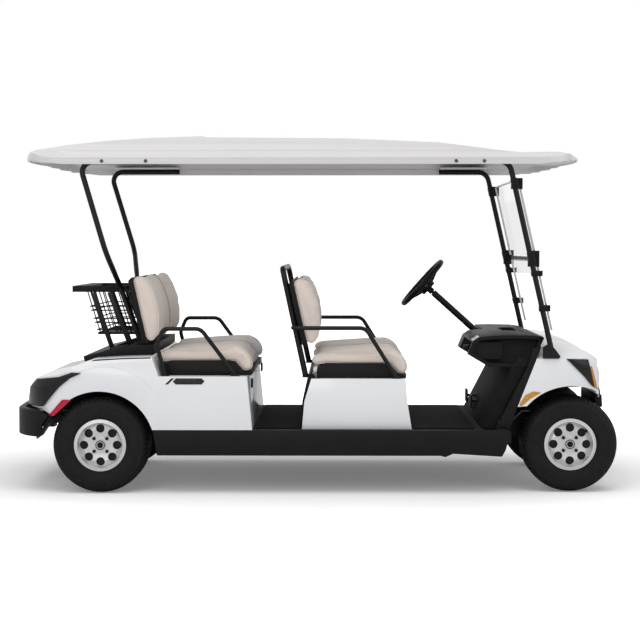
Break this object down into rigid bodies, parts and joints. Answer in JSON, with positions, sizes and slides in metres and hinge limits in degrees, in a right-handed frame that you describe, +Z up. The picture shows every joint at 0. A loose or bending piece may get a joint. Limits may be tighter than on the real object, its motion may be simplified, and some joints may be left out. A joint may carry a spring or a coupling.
{
  "type": "golf cart",
  "caption": "Open golf cart with two padded bench seats in rows, tube supports, a long roof, windshield, steered front wheels and a rear basket.",
  "frame": {"origin": "on the ground under the middle of the cart", "axes": "X points forward, Y to the driver's left, Z up"},
  "size_m": [2.9116, 1.2166, 1.7119],
  "materials": {
    "tyre": "matt black tyre rubber",
    "rim": "silver painted wheel cover",
    "body_white": "glossy white body panel",
    "roof_white": "pale moulded roof",
    "cushion": "stone coloured vinyl",
    "black_plastic": "grained black plastic",
    "black_steel": "black powder coat",
    "engine_metal": "dark casting",
    "floor_rubber": "black ribbed mat",
    "floor_plastic": "black floor moulding",
    "windshield": "clear sheet",
    "lamp_dark": "dark smoked lens",
    "marker_amber": "amber lens",
    "reflector_red": "red reflector",
    "badge": "blank dark badge"
  },
  "bodies": {
    "root": {"armrests": "black_steel", "backrest_pads": "cushion", "backrest_shells": "black_plastic", "basket": "black_plastic", "basket_posts": "black_steel", "chassis_frame": "black_steel", "dash": "black_plastic", "dash_pillars": "black_plastic", "engine_block": "engine_metal", "floor_mats": "floor_rubber", "floor_pan": "floor_plastic", "front_axle_beam": "black_steel", "front_back_frame": "black_steel", "front_bumper": "black_plastic", "front_cowl": "body_white", "front_markers": "marker_amber", "front_seat_base": "body_white", "front_struts": "black_steel", "headlamps": "lamp_dark", "pedals": "black_plastic", "rear_axle": "black_steel", "rear_back_bars": "black_steel", "rear_body": "body_white", "rear_bumper": "black_plastic", "rear_deck": "black_plastic", "rear_reflectors": "reflector_red", "rear_springs": "black_steel", "rear_struts": "black_steel", "roof": "roof_white", "seat_back_panel": "black_plastic", "side_badges": "badge", "side_sills": "black_plastic", "steering_column": "black_steel", "tail_lamps": "lamp_dark", "toe_board": "black_plastic", "tow_hitch": "black_steel", "wheel_liners": "black_plastic", "windshield_fittings": "black_plastic", "windshield_panes": "windshield"},
    "knuckle_left": {"knuckle_left": "black_steel"},
    "knuckle_right": {"knuckle_right": "black_steel"},
    "tie_rod": {"tie_rod": "black_steel"},
    "steering_wheel": {"steering_wheel": "black_plastic"},
    "wheel_front_left": {"tyre_front_left": "tyre", "rim_front_left": "rim"},
    "wheel_front_right": {"tyre_front_right": "tyre", "rim_front_right": "rim"},
    "wheel_rear_left": {"tyre_rear_left": "tyre", "rim_rear_left": "rim"},
    "wheel_rear_right": {"tyre_rear_right": "tyre", "rim_rear_right": "rim"},
    "front_seat_lid": {"seat_tray_front": "black_plastic", "seat_cushion_front": "cushion"},
    "rear_seat_lid": {"seat_tray_rear": "black_plastic", "seat_cushion_rear": "cushion"}
  },
  "joints": [
    {"name": "steer_left", "type": "hinge", "parent": "root", "child": "knuckle_left", "pos_m": [1.224, 0.33, 0.2286], "axis": [0, 0, 1], "range_deg": [-28, 28]},
    {"name": "steer_right", "type": "hinge", "parent": "root", "child": "knuckle_right", "pos_m": [1.224, -0.33, 0.2286], "axis": [0, 0, 1], "range_deg": [-28, 28]},
    {"name": "tie_rod_slide", "type": "slide", "parent": "root", "child": "tie_rod", "axis": [0, 1, 0], "range_m": [-0.0545, 0.0545]},
    {"name": "steering_wheel_turn", "type": "hinge", "parent": "root", "child": "steering_wheel", "pos_m": [0.561, 0.3, 0.982], "axis": [-0.7431, 0, 0.6691], "range_deg": [-337, 337]},
    {"name": "front_seat_lid_hinge", "type": "hinge", "parent": "root", "child": "front_seat_lid", "pos_m": [0.446, 0, 0.5473], "axis": [0, 1, 0], "range_deg": [0, 60]},
    {"name": "rear_seat_lid_hinge", "type": "hinge", "parent": "root", "child": "rear_seat_lid", "pos_m": [-0.292, 0, 0.5603], "axis": [0, 1, 0], "range_deg": [0, 60]},
    {"name": "front_wheel_left_spin", "type": "hinge", "parent": "knuckle_left", "child": "wheel_front_left", "pos_m": [1.224, 0.432, 0.2286], "axis": [0, 1, 0], "continuous": true},
    {"name": "rear_wheel_left_spin", "type": "hinge", "parent": "root", "child": "wheel_rear_left", "pos_m": [-1.016, 0.49, 0.2286], "axis": [0, 1, 0], "continuous": true},
    {"name": "front_wheel_right_spin", "type": "hinge", "parent": "knuckle_right", "child": "wheel_front_right", "pos_m": [1.224, -0.432, 0.2286], "axis": [0, 1, 0], "continuous": true},
    {"name": "rear_wheel_right_spin", "type": "hinge", "parent": "root", "child": "wheel_rear_right", "pos_m": [-1.016, -0.49, 0.2286], "axis": [0, 1, 0], "continuous": true}
  ],
  "couplings": [
    {"joint": "steer_right", "follows": "steer_left", "ratio": 1},
    {"joint": "tie_rod_slide", "follows": "steer_left", "m_per_rad": -0.11},
    {"joint": "steering_wheel_turn", "follows": "steer_left", "ratio": 12}
  ]
}
